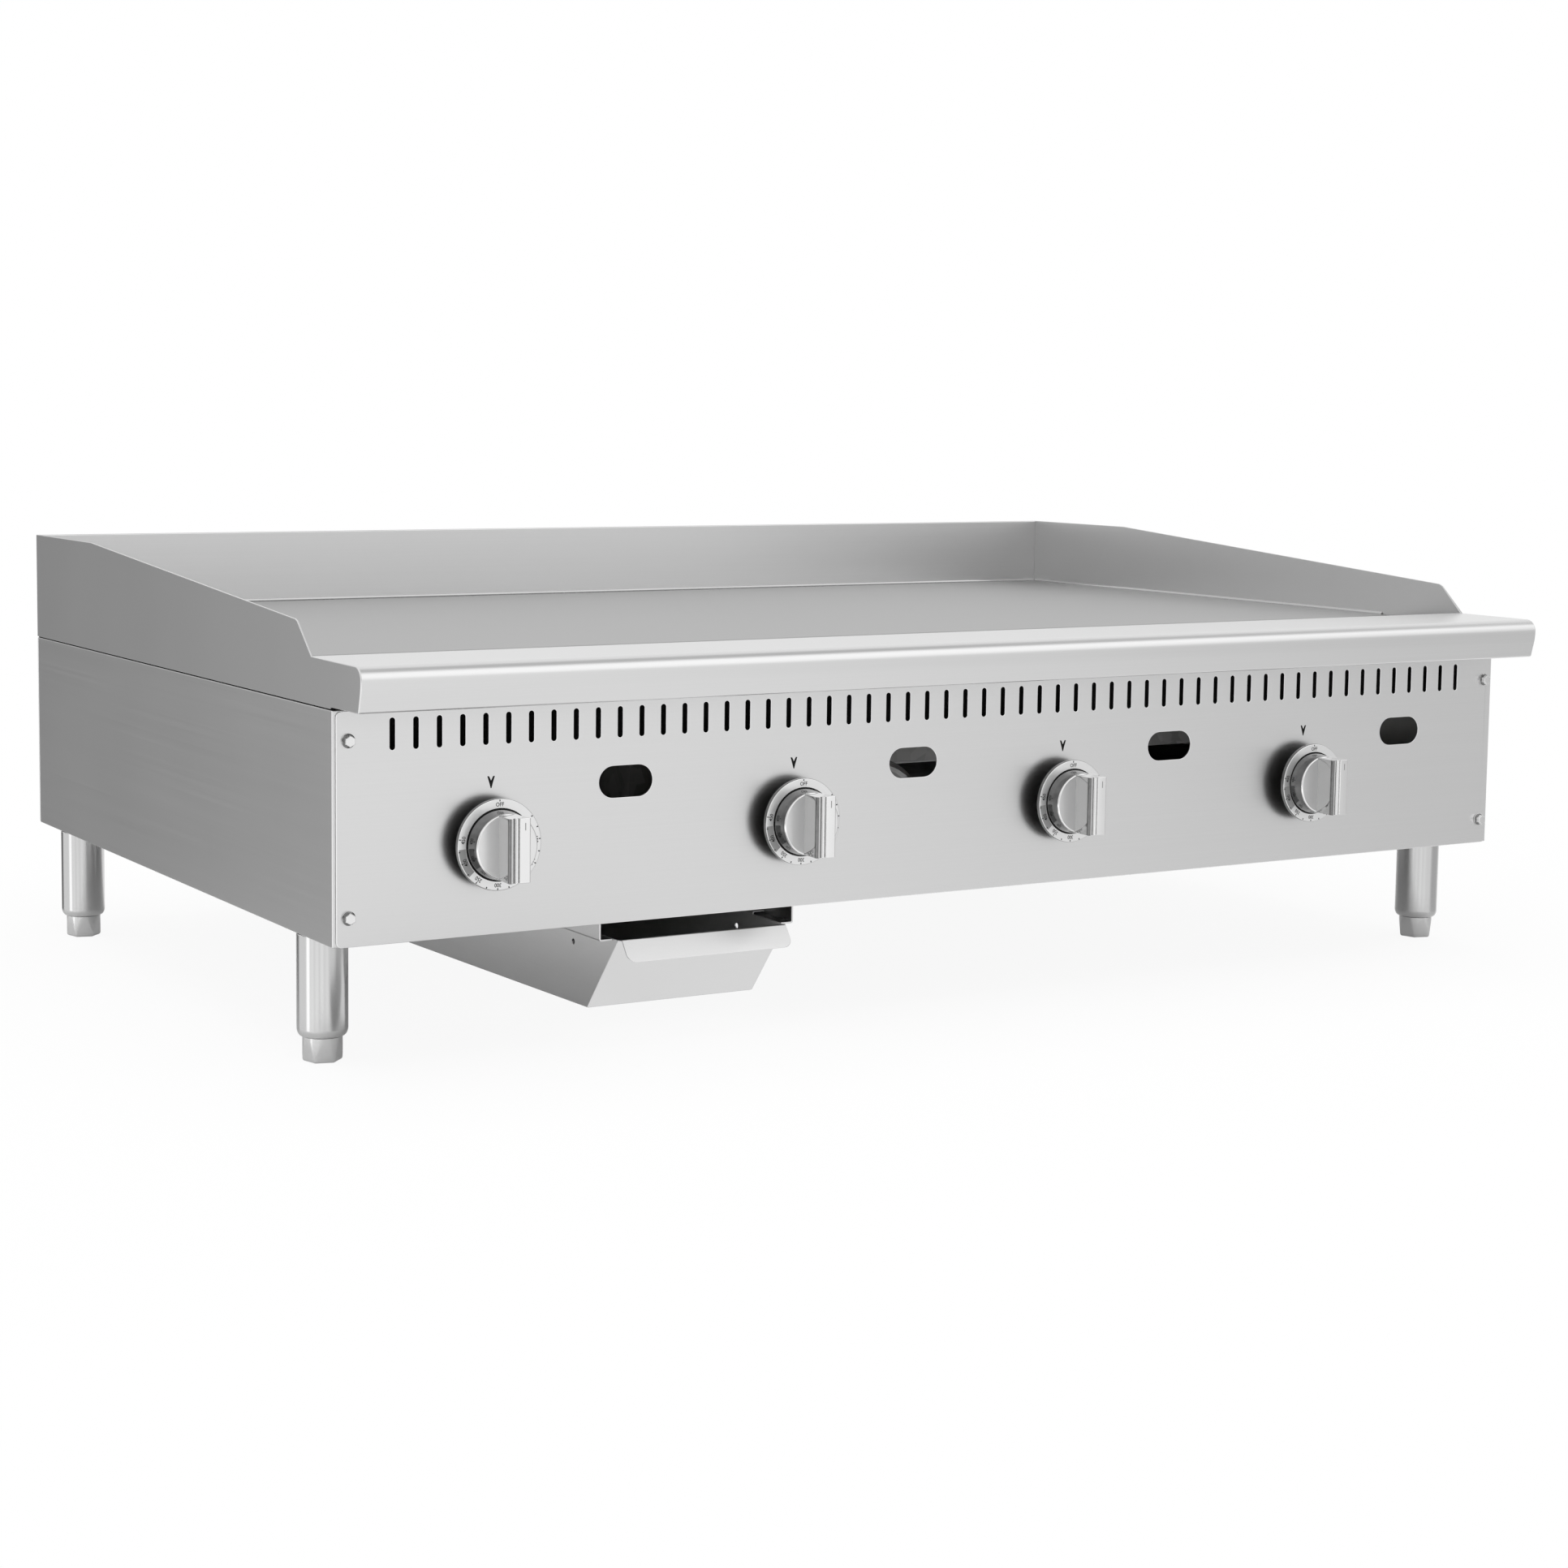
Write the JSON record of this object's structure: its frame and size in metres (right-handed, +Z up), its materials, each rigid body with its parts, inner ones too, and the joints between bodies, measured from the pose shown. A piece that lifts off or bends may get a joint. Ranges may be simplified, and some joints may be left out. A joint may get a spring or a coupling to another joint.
{
  "type": "countertop gas griddle",
  "caption": "Wide stainless countertop gas griddle: thick flat cooking plate with side and back splashes, front ledge, thermostat knobs, pull-out grease drawer and adjustable legs.",
  "frame": {"origin": "on the standing surface, below the middle of the whole griddle's box", "axes": "+X to the right as seen from the control side, +Y to the back, +Z up"},
  "size_m": [1.219, 0.8, 0.3885],
  "materials": {
    "stainless": "fine brushed stainless sheet",
    "plate_steel": "ground and polished cooking plate",
    "knob_chrome": "polished chrome with a satin printed dial",
    "foot_chrome": "bright plated foot",
    "zinc": "bright zinc plated",
    "galvanised": "dull galvanised sheet",
    "black_pipe": "black iron pipe",
    "burner_steel": "aluminised steel tube",
    "brass": "plain brass",
    "aluminium_tube": "bent aluminium tube"
  },
  "bodies": {
    "cabinet": {"back_panel": "stainless", "back_splash": "stainless", "bottom_pan": "galvanised", "burner_1": "burner_steel", "burner_2": "burner_steel", "burner_3": "burner_steel", "burner_4": "burner_steel", "burner_rest_front": "galvanised", "burner_rest_rear": "galvanised", "drawer_rail_left": "stainless", "drawer_rail_right": "stainless", "front_ledge": "stainless", "front_panel": "stainless", "gas_inlet_pipe": "black_pipe", "gas_manifold": "black_pipe", "gas_tube_1": "aluminium_tube", "gas_tube_2": "aluminium_tube", "gas_tube_3": "aluminium_tube", "gas_tube_4": "aluminium_tube", "grease_chute": "galvanised", "grease_trough": "stainless", "griddle_plate": "plate_steel", "left_side_panel": "stainless", "left_splash": "stainless", "leg_front_left": "stainless", "leg_front_right": "stainless", "leg_plate_front_left": "galvanised", "leg_plate_front_right": "galvanised", "leg_plate_rear_left": "galvanised", "leg_plate_rear_right": "galvanised", "leg_rear_left": "stainless", "leg_rear_right": "stainless", "panel_bolt_lower_left": "zinc", "panel_bolt_lower_right": "zinc", "panel_bolt_upper_left": "zinc", "panel_bolt_upper_right": "zinc", "pilot_1": "brass", "pilot_2": "brass", "pilot_3": "brass", "pilot_4": "brass", "plate_bearer": "galvanised", "right_side_panel": "stainless", "right_splash": "stainless", "thermostat_valve_1": "brass", "thermostat_valve_2": "brass", "thermostat_valve_3": "brass", "thermostat_valve_4": "brass"},
    "control_1": {"knob_1": "knob_chrome", "valve_stem_1": "zinc"},
    "control_2": {"knob_2": "knob_chrome", "valve_stem_2": "zinc"},
    "control_3": {"knob_3": "knob_chrome", "valve_stem_3": "zinc"},
    "control_4": {"knob_4": "knob_chrome", "valve_stem_4": "zinc"},
    "drawer": {"grease_drawer": "stainless"},
    "front_left_foot": {"foot_front_left": "foot_chrome"},
    "front_right_foot": {"foot_front_right": "foot_chrome"},
    "rear_left_foot": {"foot_rear_left": "foot_chrome"},
    "rear_right_foot": {"foot_rear_right": "foot_chrome"}
  },
  "joints": [
    {"name": "control_1_turn", "type": "hinge", "parent": "cabinet", "child": "control_1", "pos_m": [-0.4755, -0.346, 0.1775], "axis": [0, -1, 0], "range_deg": [0, 285]},
    {"name": "control_2_turn", "type": "hinge", "parent": "cabinet", "child": "control_2", "pos_m": [-0.1945, -0.346, 0.1775], "axis": [0, -1, 0], "range_deg": [0, 285]},
    {"name": "control_3_turn", "type": "hinge", "parent": "cabinet", "child": "control_3", "pos_m": [0.0865, -0.346, 0.1775], "axis": [0, -1, 0], "range_deg": [0, 285]},
    {"name": "control_4_turn", "type": "hinge", "parent": "cabinet", "child": "control_4", "pos_m": [0.3675, -0.346, 0.1775], "axis": [0, -1, 0], "range_deg": [0, 285]},
    {"name": "drawer_slide", "type": "slide", "parent": "cabinet", "child": "drawer", "axis": [0, -1, 0], "range_m": [0, 0.4]},
    {"name": "front_left_foot_height", "type": "slide", "parent": "cabinet", "child": "front_left_foot", "axis": [0, 0, -1], "range_m": [0, 0.025]},
    {"name": "front_right_foot_height", "type": "slide", "parent": "cabinet", "child": "front_right_foot", "axis": [0, 0, -1], "range_m": [0, 0.025]},
    {"name": "rear_left_foot_height", "type": "slide", "parent": "cabinet", "child": "rear_left_foot", "axis": [0, 0, -1], "range_m": [0, 0.025]},
    {"name": "rear_right_foot_height", "type": "slide", "parent": "cabinet", "child": "rear_right_foot", "axis": [0, 0, -1], "range_m": [0, 0.025]}
  ]
}
